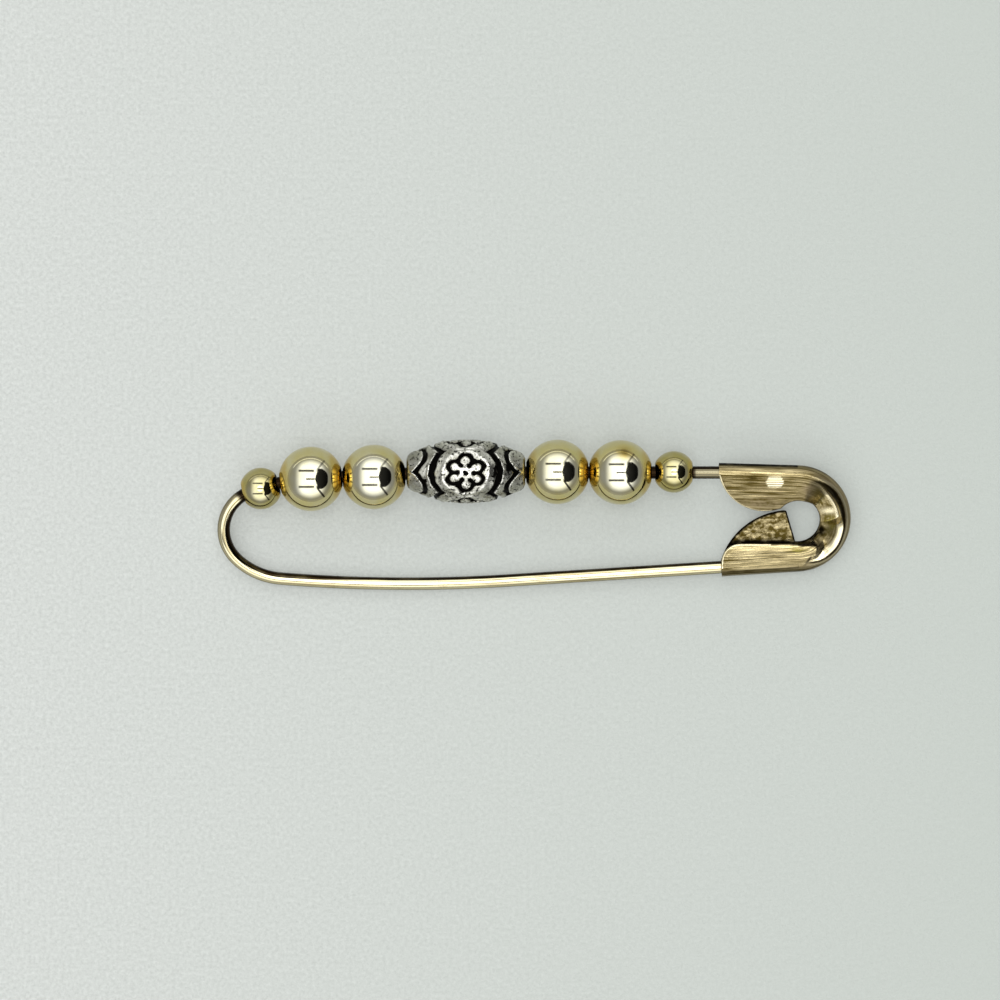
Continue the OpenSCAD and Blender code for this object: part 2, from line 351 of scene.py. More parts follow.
def reach_in(rim):
    """How far the sheet reaches in from each station, in front and behind, and along which rays.

    The rays stand square to the straight sides and point to the middle of the hole on the ring. In front the
    sheet ends on the lobe's circle, on the flap's line, whose corner is a rounded quarter, or on the hole.
    Behind it ends as in front on the upper side, and otherwise on the hole or on the back lobe's circle."""
    place, out, part = rim.place, rim.out, rim.part
    rim.normal = np.stack([np.cos(out), np.sin(out)], -1)
    to_hole = unit(HOLE_CENTRE - place)
    from_ring_end = np.minimum(math.pi / 2 - 0.03 - out, out + math.pi / 2 - 0.06)
    on_ring = np.where(part == 1, smooth(from_ring_end / 0.25), 0)[:, None]
    rim.front_ray = unit(-rim.normal * (1 - on_ring) + to_hole * on_ring)
    # Behind, the rays lean over to the straight right edge of the lobe.
    lean = np.where(part == 2, BACK_CUT_LEAN * after(place[:, 0], 17.5, 7.3), 0)
    lean = np.where(part == 1, BACK_CUT_LEAN * smooth(1 - (out + math.pi / 2 - 0.065) / 0.3), lean)
    lean = np.radians(lean)[:, None]
    aside = np.stack([-rim.front_ray[:, 1], rim.front_ray[:, 0]], -1)
    rim.back_ray = rim.front_ray * np.cos(lean) + aside * np.sin(lean)

    hole = enters(place, rim.front_ray, HOLE_CENTRE, HOLE_R)
    lobe = enters(place, rim.front_ray, LOBE_CENTRE, LOBE_R, far=True)
    flap_height = FLAP_TOP_V - place[:, 1]
    corner = np.clip((place[:, 0] - FLAP_FROM_U) / FLAP_CORNER, 0, 1)
    flap = flap_height * (1 - (1 - corner) ** FLAP_ROUNDNESS) ** (1 / FLAP_ROUNDNESS)
    flap_on_ring = np.minimum(flap_height / np.maximum(rim.front_ray[:, 1], 0.2), hole)
    front = np.where(place[:, 0] < LOBE_MEETS_HOLE_U, lobe, hole)
    front = np.where(part == 1, np.where(out > -0.9, hole, flap_on_ring), front)
    front = np.where(part == 2, np.minimum(flap, hole), front)
    rim.front = np.maximum(front, NARROWEST)[:, None]

    back_hole = enters(place, rim.back_ray, HOLE_CENTRE, HOLE_R)
    back_lobe = enters(place, rim.back_ray, BACK_CENTRE, BACK_R, far=True)
    start = int(np.argmax(part == 2))
    cut = np.clip((np.arange(len(place)) - start) / CUT_OVER_ROWS, 0, 1)
    back = np.where(part == 0, rim.front[:, 0] - 0.04, back_hole)
    back = np.where(part == 2, back_hole[start] * (1 - cut) + back_lobe * cut, back)
    rim.back = np.maximum(back, NARROWEST)[:, None]


def dished_front(rim):
    """Height of the front's middle surface, by angle round the ring and by distance in from the rim.

    Lobe and flap bow a little: height falls with the square of the distance in, and droops at the edge.
    The dish is floor + drop * e to the power of minus (distance from the fold's crest over the wall's width)
    squared, + a foot that falls with the square of the reach left. A share, none on lobe and flap and full on
    the ring, blends the two."""
    side = np.where(rim.part == 0, math.pi / 2, -math.pi / 2)
    degrees = np.degrees(np.where(rim.part == 1, rim.out, side))[:, None]
    t = np.linspace(1, 0, FRONT_COLS)[None] ** 1.25
    depth = rim.front * t
    # Upper end: a soft ramp. Lower end: a pleat that starts slantwise from the rim, then a long ramp.
    pleat = PLEAT_AT + PLEAT_SLANT * np.sin(np.clip(depth, 0, PLEAT_DEPTH) / PLEAT_DEPTH * math.pi)
    ramp = np.clip((degrees - pleat) / (DISH_FULL_AT - pleat), 0, 1)
    share = before(degrees, DISH_TOP_AT, 42) * (1 - (1 - ramp) ** 2)
    crest_share = share[:, -1:]
    crest = CREST_IN + CREST_IN_BELOW * before(degrees, -10, 35)
    crest = crest * after(degrees, PLEAT_AT, 25) * crest_share
    inset = depth - crest * (1 - t) ** 2.2
    from_crest = inset + crest
    top_w = np.sqrt(FOLD_MID ** 2 - crest ** 2)
    # The wall runs out wide under its shadow at the upper right, is steep at the right, and gentle below.
    shadow = SHADOW_WIDTH * np.clip((degrees + 12) / 46, 0, 1) * before(degrees, 66, 26)
    gentle = before(degrees, 3, 17) * after(degrees, -48, 20)
    wall = STEEP_WALL + 0.7 * shadow + 0.9 * before(degrees, -28, 22) + 1.3 * gentle
    foot = FOOT_HEIGHT - 0.2 * gentle
    dish = (DISH_FLOOR_W + (top_w - DISH_FLOOR_W - foot) * np.exp(-(from_crest / wall) ** 2)
            + foot * np.maximum(0, 1 - from_crest / FOOT_REACH) ** 2)
    droop = 0.06 * smooth(1 - (rim.front - depth) / 0.5) * smooth(rim.front / 1.2)
    arched = FOLD_MID - 0.1 * (depth / 4.2) ** 2 - droop
    beside_fold = (1 - t) ** 30
    flat = np.where(t > 0.02, arched, FOLD_MID) * (1 - beside_fold) + top_w * beside_fold
    rim.degrees, rim.depth, rim.inset, rim.from_crest = degrees, depth, inset, from_crest
    rim.share, rim.crest, rim.shadow = share, crest, shadow
    return flat * (1 - share) + dish * share


def rounded_edge(middle, face, column, neighbour, turn_from):
    """Half round of the sheet's thickness round an edge, square to the edge's own line."""
    line = np.gradient(middle[:, column], axis=0)
    normal = face[:, column]
    off = unit(np.cross(line, normal))
    off *= np.sign((off * (middle[:, column] - middle[:, neighbour])).sum(-1, keepdims=True))
    angle = np.linspace(0, math.pi, EDGE_COLS + 2)[None, 1:-1, None]
    ring = np.cos(angle) * normal[:, None] * turn_from + np.sin(angle) * off[:, None]
    return middle[:, column][:, None] + HALF_SHEET * ring


def cap_marks(rim, u, v):
    """Tarnish, painted shade and painted highlights at each point. Shade is painted black in the dish's shadow,
    in creases, on edges and on hidden parts; highlights are painted pale where light would glint off the sheet.

    Zones are tarnish, grey and olive. Marks are painted shade, painted highlight, and where the brush lines give
    way to curdled stains. Each runs over the outer skin, the back edge, the inner skin from behind, and the
    front edge."""
    rows = len(rim.place)
    degrees = rim.degrees
    upper, ring, lower = ((rim.part == number)[:, None] for number in range(3))
    skin_u, skin_v = u[:, :SKIN_COLS], v[:, :SKIN_COLS]
    turned_over = np.linspace(0, 1, FOLD_COLS)
    turned_over = np.concatenate([np.zeros(FRONT_COLS), turned_over, np.ones(BACK_COLS)])[None]
    in_front = turned_over < 0.05
    past_rim = np.ones((rows, FOLD_COLS + BACK_COLS))
    fold_share = np.repeat(rim.share[:, -1:], FOLD_COLS, 1)
    share = np.concatenate([rim.share, fold_share, np.zeros((rows, BACK_COLS))], 1)
    far_in = np.concatenate([rim.from_crest, -0.1 * past_rim], 1)
    to_edge = np.concatenate([rim.front - rim.depth, 9.0 * past_rim], 1)
    back_depth = rim.back * rim.t_back
    back_edge = np.ones((rows, EDGE_COLS))
    # The front edge: painted shade on its right part and round the lower hole, a painted highlight elsewhere.
    front_edge = 0.5 * (rim.place[:, :1] > 22.5) + 0.5 * before(degrees, -18, 15) * ring
    front_edge = np.repeat(front_edge, EDGE_COLS, 1)
    bare_skin = np.zeros((rows, SKIN_COLS))

    # Painted highlight: the bright sweep at the foot of the dish's wall.
    breadth = 0.78 - 0.12 * bell(degrees, -18, 14)
    painted_sweep = share * after(far_in, rim.shadow, 0.1) * before(far_in, rim.shadow + breadth, 0.35)
    painted_sweep *= 0.45 + 0.55 * before(degrees, 25, 20)

    # Tarnish is thinnest on the upper rim and on the flap.
    on_flap = before(skin_v, -6.2, 0.5) * in_front
    fold_side_shade = bell(turned_over, 0.44, 0.15)
    brown = 0.66 - 0.2 * after(skin_v, -0.1, 0.25) - (0.3 - 0.16 * before(skin_u, 20, 2)) * on_flap
    brown = brown + spots(skin_u, skin_v, BROWN_SPOTS) * in_front
    dish_brown = 0.66 - 0.25 * after(turned_over, 0, 0.15)
    # The sweep's painted highlight thins the tarnish, and painted shade darkens the fold's side.
    brown = brown * (1 - share) + dish_brown * share - 0.5 * painted_sweep + 0.15 * fold_side_shade
    inner_brown = bare_skin + 0.53 + 0.14 * turned_over
    tarnish = np.concatenate([brown, 0.6 * back_edge, inner_brown[:, ::-1], 0.2 * back_edge], 1)

    # Painted shade: black painted in the dish's shadow, in the crease at the crest, round the lower hole, in the
    # pleat's notch, along the fold, on the edges, and over the inner skin, most where the front hides the back.
    crescent_shade = after(far_in, 0, 0.05) * smooth((rim.shadow - far_in) / 0.14 + 0.3)
    crease_shade = smooth(3 * share) * bell(far_in, 0.02, 0.07) * after(degrees, -80, 10)
    lower_hole_shade = smooth(1.2 - to_edge / 0.14) * before(degrees, -18, 15) * after(degrees, -90, 15)
    top_side_shade = upper * after(turned_over, 0.28, 0.08) * before(turned_over, 0.62, 0.1)
    fold_line_shade = 0.6 * lower * bell(turned_over, 0.08, 0.04)
    notch_u, notch_v = skin_u - NOTCH_MIDDLE[0], skin_v - NOTCH_MIDDLE[1]
    notch_shadow = spot(0.6 * notch_u + 0.8 * notch_v, 0.8 * notch_u - 0.6 * notch_v, (0, 0), NOTCH_SIZE)
    painted_shade = np.maximum(share * crescent_shade, crease_shade) + (0.3 - 0.2 * ring) * fold_side_shade + top_side_shade + fold_line_shade
    painted_shade = painted_shade + (spots(skin_u, skin_v, CAP_SHADE_SPOTS) + notch_shadow) * in_front + lower_hole_shade
    hidden_shade = before(back_depth, rim.front + 0.37, 0.25) * lower
    beside_edge = before(rim.back - back_depth, 0.16, 0.16)
    inner_shade = np.full((rows, FRONT_COLS + FOLD_COLS), 0.55)
    inner_shade = np.concatenate([inner_shade, np.maximum(hidden_shade, 0.9 * beside_edge)], 1)
    painted_shade = np.concatenate([painted_shade, back_edge, inner_shade[:, ::-1], front_edge], 1)

    # Painted highlights: a glint with fine lines, the sweep, a bright spot in the dish, a thin line on the
    # crest, and the front edge where it is not shaded.
    across_u = np.abs(skin_u - GLINT_MIDDLE[0]) / GLINT_HALF[0]
    across_v = np.abs(skin_v - GLINT_MIDDLE[1]) / GLINT_HALF[1]
    painted_glint = smooth((1 - across_u - 0.35 * across_v) / 0.12 + 0.5) * smooth((1 - across_v) / 0.1)
    painted_glint *= 0.5 + 0.5 * np.cos(skin_v / GLINT_LINE * FULL_TURN)
    painted_highlight = np.maximum(np.maximum(painted_glint, painted_sweep), spots(skin_u, skin_v, HIGHLIGHT_SPOTS)) * in_front
    painted_highlight = np.maximum(painted_highlight, 0.5 * share * bell(turned_over, 0.04, 0.05) * (far_in < 0))
    painted_highlight = np.concatenate([painted_highlight, 0 * back_edge, bare_skin, 0.8 - 1.6 * front_edge], 1)

    curdled = 0.6 * share * after(far_in, 0.2, 0.3)
    curdled = np.concatenate([curdled, 0 * back_edge, bare_skin + 1, 0 * front_edge], 1)
    grey = spots(u, v, GREY_SPOTS)
    grey[:, :SKIN_COLS] += 0.8 * share * after(turned_over, 0, 0.12) * before(turned_over, 0.7, 0.2)
    zones = np.stack([np.clip(tarnish, 0, 1), grey, spots(u, v, OLIVE_SPOTS)], -1)
    return zones, np.stack([np.clip(painted_shade, 0, 1), np.clip(painted_highlight, 0, 1), curdled], -1)


def cap_surface():
    """One folded sheet: for each station of the rim its middle surface runs from the front edge over the fold
    to the back edge, and two skins lie half a thickness either side of it, joined round both edges.

    The fold is an arc of a circle, from where the front leaves it to the flat back."""
    rim = cap_stations()
    reach_in(rim)
    front_w = dished_front(rim)
    place = rim.place[:, None]
    front_uv = place + rim.front_ray[:, None] * rim.inset[..., None]

    leaves = np.arcsin(np.clip(rim.crest / FOLD_MID, 0, 1))
    beta = leaves + (math.pi - leaves) * np.linspace(0, 1, FOLD_COLS + 1)[None, 1:]
    fold_uv = place + rim.normal[:, None] * (FOLD_MID * np.sin(beta))[..., None]
    fold_w = FOLD_MID * np.cos(beta)

    rim.t_back = np.linspace(0, 1, BACK_COLS + 1)[None, 1:]
    back_uv = place + rim.back_ray[:, None] * (rim.back * rim.t_back)[..., None]
    back_w = np.full(back_uv.shape[:2], -FOLD_MID)

    middle_uv = np.concatenate([front_uv, fold_uv, back_uv], 1)
    middle_w = np.concatenate([front_w, fold_w, back_w], 1)
    middle = np.concatenate([middle_uv, middle_w[..., None]], 2)
    face = unit(np.cross(np.gradient(middle, axis=1), np.gradient(middle, axis=0)))
    face *= np.sign(face[:, :1, 2:3])
    outer = middle + HALF_SHEET * face
    inner = middle - HALF_SHEET * face
    back_round = rounded_edge(middle, face, -1, -2, 1)
    front_round = rounded_edge(middle, face, 0, 1, -1)
    u, v, w = np.moveaxis(np.concatenate([outer, back_round, inner[:, ::-1], front_round], 1), -1, 0)
    zones, painted_light_and_stains = cap_marks(rim, u, v)

    # Brush lines run along the rim: place along it, and length of sheet away from the crest of the fold.
    station = running_sum(np.linalg.norm(np.diff(rim.place, axis=0), axis=-1))[:, None]
    length = np.concatenate([-rim.depth, FOLD_MID * beta, FOLD_MID * math.pi + rim.back * rim.t_back], 1)
    at_back, at_front = np.repeat(length[:, -1:], EDGE_COLS, 1), np.repeat(length[:, :1], EDGE_COLS, 1)
    length = np.concatenate([length, at_back, length[:, ::-1], at_front], 1)
    brushed = np.stack(np.broadcast_arrays(station, length, 0.0), -1)
    return on_pin(u, v, w), {"zones": zones, "painted_light_and_stains": painted_light_and_stains, "brushed": brushed}


points, extra = cap_surface()
cap = grid_piece("folded_cap", points, ends="strip", attributes=extra, sharp=50)

# Round beads

LIP_R = 0.08
BALL_STEPS = 84
LIP_STEPS = 10
BORE_STEPS = 8
ROUND_STEPS = 112
# Node, radius of its bore, turn of the bore in degrees, share of silver showing through the gold.
ROUND_BEADS = [
    ("bead_small_left", 0.95, 15, 0.3), ("bead_large_1", 0.86, 7, 0.6), ("bead_large_2", 0.8, 2, 0.75),
    ("bead_large_3", 0.82, 0, 0.5), ("bead_large_4", 0.82, 0, 0.7), ("bead_small_right", 0.8, 0, 0.3)]
# One bead has a smudge that was never rubbed away, in this direction from its middle.
SMUDGED = "bead_large_4"
SMUDGE_WAY = np.array([0.12, 0.62, 0.77])
SMUDGE_SIZE = 0.75


def bead_profile(radius, bore):
    """Closed outline of a drilled ball, as place along the bore and distance from it.

    A circle of the bead's radius meets the bore through a small round lip that touches both."""
    reach = math.sqrt((radius - LIP_R) ** 2 - (bore + LIP_R) ** 2)
    touch = math.atan2(bore + LIP_R, reach)
    ball = np.linspace(touch, math.pi - touch, BALL_STEPS)
    lip = np.linspace(touch, -math.pi / 2, LIP_STEPS)
    outer = np.stack([radius * np.cos(ball), radius * np.sin(ball)], -1)
    lip_right = np.stack([reach + LIP_R * np.cos(lip[1:]), bore + LIP_R + LIP_R * np.sin(lip[1:])], -1)
    wall = np.stack([np.linspace(reach, -reach, BORE_STEPS + 2)[1:-1], np.full(BORE_STEPS, bore)], -1)
    lip_left = lip_right[::-1] * np.array([-1, 1])
    return np.concatenate([outer[::-1], lip_right, wall, lip_left])


def turned(profile, centre, axis):
    """The profile turned round the bore: place along the axis, distance times cosine and sine across it."""
    side = np.cross(axis, [0, 0, 1.0])
    side /= np.linalg.norm(side)
    up = np.cross(side, axis)
    turn = np.linspace(0, FULL_TURN, ROUND_STEPS, endpoint=False)
    ring = np.cos(turn)[:, None] * side + np.sin(turn)[:, None] * up
    return centre + profile[:, :1][:, None] * axis + profile[:, 1:][:, None] * ring[None]


beads = []
for node, bore, bore_turn, silver in ROUND_BEADS:
    lowest, highest = (np.array(corner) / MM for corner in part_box(node))
    centre = (lowest + highest) / 2
    radius = (highest[2] - lowest[2]) / 2
    a = math.radians(bore_turn)
    axis = np.array([math.cos(a), math.sin(a) * math.cos(TILT), math.sin(a) * math.sin(TILT)])
    profile = bead_profile(radius, bore)
    points = turned(profile, centre, axis)
    from_smudge = np.linalg.norm(points - (centre + radius * SMUDGE_WAY), axis=-1)
    smudge = (node == SMUDGED) * bell(from_smudge, 0, SMUDGE_SIZE)
    # The silvery base shows as wear on each bead, and more on top as a painted highlight.
    top = (points[..., 2] - centre[2]) / radius
    wear_and_painted_highlight = silver * (0.2 + 0.9 * after(top, 0.68, 0.2)) - 0.8 * smudge
    # Painted shade: black inside the bore; the smudge's dark core joins it.
    inside = np.maximum(before(profile[:, 1], bore + 0.2, 0.12)[:, None], 0.5 * smudge ** 3)
    # More amber towards both ends of the bore, beside the neighbours, and in the smudge.
    amber = np.maximum(after(np.abs(profile[:, 0]) / radius, 0.58, 0.2)[:, None], smudge)
    extra = {"wear_and_painted_light": np.stack([wear_and_painted_highlight, inside, amber], -1)}
    beads.append((node, grid_piece("round_" + node, points * MM, closed_rows=True, attributes=extra)))

# Barrel bead

BARREL_R = 3.09
BARREL_HALF = 5.525
BELLY_R = 11.0
END_R = 1.45
BARREL_BORE_R = 1.0
BARREL_ROWS = 236
BARREL_SIDES = 392
END_ROWS = 4
RELIEF = 0.26
SKIN_LOSS = 0.08
MEDALLION_TURN = 3.0
QUARTER_HALF = math.pi / 4

# A medallion: half lengths of its oval ring, its scalloped recess, and the flower in that.
OVAL_HALF = (2.22, 2.05)
RECESS_R = 1.6
SCALLOP_R, SCALLOP_OUT = 0.76, 1.24
PETAL_R, PETAL_OUT = 0.45, 1.22
NECK_HALF = 0.21
HUB_R = 0.62
DOT_R = 0.2
# Painted shade: black patches beside the medallion, where its hollows fall dark.
BARREL_SHADE_SPOTS = [
    (0.9, (2.72, 0.1), (0.16, 0.8)), (1.0, (4.0, 0.4), (0.35, 0.4)), (0.5, (-3.9, -0.9), (0.3, 0.5))]


def barrel_radius(x):
    """Outline of the barrel: a flat arc, held inside a circle that softens the ends."""
    belly = BARREL_R - BELLY_R + np.sqrt(BELLY_R ** 2 - x ** 2)
    soft = np.sqrt(np.maximum(BARREL_HALF ** 2 + END_R ** 2 - x ** 2, 0.01))
    return -0.08 * np.logaddexp(-belly / 0.08, -soft / 0.08)


def petal_turned(x, across):
    """A point's place in its nearest petal's frame: turned back by a whole number of sixths of a turn."""
    sixth = math.pi / 3
    direction = np.arctan2(across, x)
    back = (np.floor((direction - sixth / 2) / sixth + 0.5)) * sixth + sixth / 2
    return x * np.cos(back) + across * np.sin(back), across * np.cos(back) - x * np.sin(back)


def wavy_groove(x, radius, share, at, bow, power, half, lip_at, soft):
    """A groove of a half width round the bead, and the raised lip beside it.

    The groove's line stands from the middle by at, plus bow times the share to a power. Width is measured
    square to that line: the difference along the bore over the root of 1 plus the slope squared."""
    slope = bow * power * share ** (power - 1) / QUARTER_HALF / np.maximum(radius, 1)
    off = (np.abs(x) - at - bow * share ** power) / np.sqrt(1 + slope ** 2)
    return smooth((half - np.abs(off)) / soft + 0.5), bell(off, lip_at, soft)


def ornament(x, turn, radius):
    """Height of the cast ornament, its depth as a share with patches of painted shade added, and how much it
    is rubbed.

    Four medallions stand round the bead. Each is a raised oval ring round a scalloped recess, in which six
    round petals stand on a hub. A wavy groove runs round the bead on both sides of them, with its points
    between the medallions, and a second one nearer the ends, with its points beside them."""
    quarter = (turn + QUARTER_HALF) % (2 * QUARTER_HALF) - QUARTER_HALF
    across = radius * np.sin(quarter)
    share = np.abs(quarter) / QUARTER_HALF

    # Hand-cut ornament is never quite even.
    off_x = x + 0.07 * np.sin(2.1 * across + 1.3 * x) + 0.03 * np.sin(6.1 * across - 2.7 * x)
    off_y = across + 0.06 * np.sin(2.4 * x - 1.1 * across) + 0.03 * np.sin(5.3 * x + 3.9 * across)
    ring = bell(np.hypot(off_x / OVAL_HALF[0], off_y / OVAL_HALF[1]), 1.0, 0.1)
    petal_x, petal_y = petal_turned(off_x, off_y * 1.06)
    far = np.hypot(off_x, off_y)
    recess = np.maximum(SCALLOP_R - np.hypot(petal_x - SCALLOP_OUT, petal_y), RECESS_R - far)
    inside = smooth(recess / 0.1 + 0.5)
    petal = PETAL_R - np.hypot(petal_x - PETAL_OUT, petal_y)
    neck = np.minimum(NECK_HALF - np.abs(petal_y), 1.2 - petal_x)
    flower = np.maximum(np.maximum(petal, neck), HUB_R - far)
    dot = smooth((DOT_R - far) / 0.08 + 0.5)
    on_flower = smooth(flower / 0.1 + 0.5)
    sunk = inside * (1 - on_flower * (1 - 0.9 * dot))

    groove, lip = wavy_groove(
        off_x, radius, share, at=3.14, bow=-0.94, power=2.6, half=0.25, lip_at=0.38, soft=0.1)
    end_groove, end_lip = wavy_groove(
        off_x, radius, 1 - share, at=3.83, bow=0.92, power=1.8, half=0.19, lip_at=0.31, soft=0.09)
    lip = lip + end_lip
    sunk = np.maximum(np.maximum(sunk, groove), end_groove * 0.9)
    rubbed = ring + 0.9 * inside * smooth(flower / 0.3) + 0.9 * lip
    # Black patina in the recesses, with the patches of painted shade beside the medallion.
    depth = np.maximum(sunk, spots(off_x, off_y, BARREL_SHADE_SPOTS))
    height = (0.1 * ring + 0.06 * lip) * (1 - sunk) - RELIEF * sunk
    return height, depth, np.clip(rubbed, 0, 1) * (1 - sunk)


def barrel_surface():
    """The outline turned round the bore, with the ornament's height added to its radius, closed by flat ends
    with a round rim and by the bore. Its rows crowd a little towards the ends."""
    even = np.linspace(-1, 1, BARREL_ROWS)
    crowded = np.sin(even * 1.43) / math.sin(1.43)
    x = BARREL_HALF * (0.6 * even + 0.4 * crowded)
    turn = np.linspace(0, FULL_TURN, BARREL_SIDES, endpoint=False)
    r = barrel_radius(x)[:, None]
    height, sunk, rubbed = ornament(*np.broadcast_arrays(x[:, None], turn[None], r))
    fade = before(np.abs(x), BARREL_HALF, 0.35)[:, None]
    outer = r + height * fade - SKIN_LOSS
    t = np.linspace(0, 1, END_ROWS + 1)[1:, None]
    right = outer[-1:] * (1 - t) + BARREL_BORE_R * t
    left = outer[:1] * (1 - t[::-1]) + BARREL_BORE_R * t[::-1]
    bore = np.full((BORE_STEPS, BARREL_SIDES), BARREL_BORE_R)
    radius = np.concatenate([outer, right, bore, left])
    bow = 0.06 * np.sin(t[:, 0] * math.pi)
    bore_x = np.linspace(BARREL_HALF, -BARREL_HALF, BORE_STEPS + 2)[1:-1]
    x = np.concatenate([x, BARREL_HALF + bow, bore_x, -BARREL_HALF - bow[::-1]])
    plain = np.ones((2 * END_ROWS + BORE_STEPS, BARREL_SIDES))
    # The flat ends and the bore are black: painted shade in the bore.
    depth = np.concatenate([sunk * fade, 0.9 * plain])
    rubbed = np.concatenate([rubbed, 0 * plain])
    return x, turn, radius, {"patina_shade_and_rubbing": np.stack([depth, rubbed, 0 * depth], -1)}


lowest, highest = (np.array(corner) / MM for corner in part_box("bead_barrel"))
barrel_centre = (lowest + highest) / 2
x, turn, radius, extra = barrel_surface()
a = turn[None] - math.radians(MEDALLION_TURN)
points = np.stack(np.broadcast_arrays(barrel_centre[0] + x[:, None], barrel_centre[1] + radius * np.sin(a),
                                      barrel_centre[2] + radius * np.cos(a)), -1)
barrel = grid_piece("ornamented_barrel", points * MM, closed_rows=True, attributes=extra, sharp=80)

# Materials

ATTRIBUTE = "ShaderNodeAttribute"
BUMP = "ShaderNodeBump"
COORDINATES = "ShaderNodeTexCoord"
MATH = "ShaderNodeMath"
MIX = "ShaderNodeMix"
NOISE = "ShaderNodeTexNoise"
OUTPUT = "ShaderNodeOutputMaterial"
RANGE = "ShaderNodeMapRange"
SHADER = "ShaderNodeBsdfPrincipled"
SPLIT = "ShaderNodeSeparateXYZ"
VECTOR = "ShaderNodeVectorMath"
# Sockets of a range node: 0 is the value, 1 and 2 where it starts and ends, 3 and 4 what that becomes.
# Sockets of a mix node for numbers: 0 is the share, 2 and 3 the two numbers. For colours they are these:
COLOUR_A, COLOUR_B = 6, 7
COLOUR = {"data_type": "RGBA", "out": 2}
PER_MM = (1000.0,) * 3


def linear(code):
    """Linear colour of an sRGB hex code."""
    srgb = np.array([int(code[i:i + 2], 16) for i in (1, 3, 5)]) / 255
    return (*np.where(srgb <= 0.04045, srgb / 12.92, ((srgb + 0.055) / 1.055) ** 2.4), 1.0)


def add(tree, kind, sockets=(), out=0, **settings):
    """Adds one node with its settings; each socket gets a value, a hex colour or another node's output.

    Gives back the node's output of that number or name, or all of them where out is None."""
    made = tree.nodes.new(kind)
    for name, value in settings.items():
        setattr(made, name, value)
    for socket, value in dict(sockets).items():
        if isinstance(value, bpy.types.NodeSocket):
            tree.links.new(value, made.inputs[socket])
        else:
            made.inputs[socket].default_value = linear(value) if isinstance(value, str) else value
    return made.outputs if out is None else made.outputs[out]


def new_finish(name):
    """A new material and its empty tree."""
    material = bpy.data.materials.new(name)
    material.use_nodes = True
    material.node_tree.nodes.clear()
    return material, material.node_tree


def per_cell(*sizes):
    """What a place in millimetres is multiplied by, for noise whose cells have these sizes along its axes."""
    return tuple(1 / size for size in sizes)


# Gold-filled wire, drawn and polished: a warm mirror with faint draw lines, with painted shade dark on its
# sides, inside its bend and where the beads cover it.
wire_finish, tree = new_finish("drawn_gilt_wire")
grain = add(tree, ATTRIBUTE, attribute_name="grain", out="Vector")
wear_and_painted_light = add(tree, SPLIT, {0: add(tree, ATTRIBUTE, attribute_name="wear_and_painted_light", out="Vector")}, out=None)
lines = add(tree, VECTOR, {0: grain, 1: per_cell(0.08, 0.08, 12.0)}, operation="MULTIPLY")
lines = add(tree, NOISE, {"Vector": lines, "Scale": 1.0, "Detail": 2.0, "Roughness": 0.55})
cloud = add(tree, VECTOR, {0: grain, 1: per_cell(1.2, 1.2, 2.6)}, operation="MULTIPLY")
cloud = add(tree, NOISE, {"Vector": cloud, "Scale": 1.0, "Detail": 3.0, "Roughness": 0.55})
drawn = add(tree, RANGE, {0: lines, 1: 0.35, 2: 0.68})
tone = add(tree, MIX, {0: drawn, COLOUR_A: "#B5A57A", COLOUR_B: "#E2D9B4"}, **COLOUR)
stain = add(tree, RANGE, {0: cloud, 1: 0.55, 2: 0.8, 4: 0.6})
tone = add(tree, MIX, {0: stain, COLOUR_A: tone, COLOUR_B: "#8F7A46"}, **COLOUR)
# Painted shade: dark on the wire's sides and inside its bend, darker still where the beads cover it.
inner = add(tree, RANGE, {0: cloud, 1: 0.2, 2: 0.5, 3: 0.8})
inner = add(tree, MATH, {0: wear_and_painted_light[0], 1: inner}, operation="MULTIPLY")
tone = add(tree, MIX, {0: inner, COLOUR_A: tone, COLOUR_B: "#2A2012"}, **COLOUR)
tone = add(tree, MIX, {0: wear_and_painted_light[1], COLOUR_A: tone, COLOUR_B: "#1C130A"}, **COLOUR)
rough = add(tree, RANGE, {0: cloud, 1: 0.35, 2: 0.75, 3: 0.08, 4: 0.2})
bump = add(tree, BUMP, {"Strength": 0.15, "Distance": 0.00004, "Height": lines})
shader = add(tree, SHADER, {"Base Color": tone, "Metallic": 1.0, "Roughness": rough, "Normal": bump})
add(tree, OUTPUT, {0: shader}, out=None)

# Brass sheet, pressed and brushed along the pin: pale streaks in brown tarnish, with painted shade black in the
# corners and on the edges, and painted highlights pale where light would glint.
cap_finish, tree = new_finish("brushed_tarnished_brass")
place = add(tree, VECTOR, {0: add(tree, COORDINATES, out="Object"), 1: PER_MM}, operation="MULTIPLY")
zones = add(tree, SPLIT, {0: add(tree, ATTRIBUTE, attribute_name="zones", out="Vector")}, out=None)
painted_light_and_stains = add(tree, SPLIT, {0: add(tree, ATTRIBUTE, attribute_name="painted_light_and_stains", out="Vector")}, out=None)
brushed = add(tree, ATTRIBUTE, attribute_name="brushed", out="Vector")
brush = add(tree, VECTOR, {0: brushed, 1: per_cell(8.0, 0.12, 1.0)}, operation="MULTIPLY")
brush = add(tree, NOISE, {"Vector": brush, "Scale": 1.0, "Detail": 3.0, "Roughness": 0.55})
mottle = add(tree, VECTOR, {0: brushed, 1: per_cell(2.4, 0.32, 1.0)}, operation="MULTIPLY")
mottle = add(tree, NOISE, {"Vector": mottle, "Scale": 1.0, "Detail": 4.0, "Roughness": 0.55})
blotch = add(tree, VECTOR, {0: place, 1: per_cell(0.6, 0.45, 0.45)}, operation="MULTIPLY")
blotch = add(tree, NOISE, {"Vector": blotch, "Scale": 1.0, "Detail": 4.0, "Roughness": 0.6})
streak = add(tree, MATH, {0: mottle, 1: 0.6, 2: brush}, operation="MULTIPLY_ADD")
curdled = add(tree, MATH, {0: blotch, 1: 1.6}, operation="MULTIPLY")
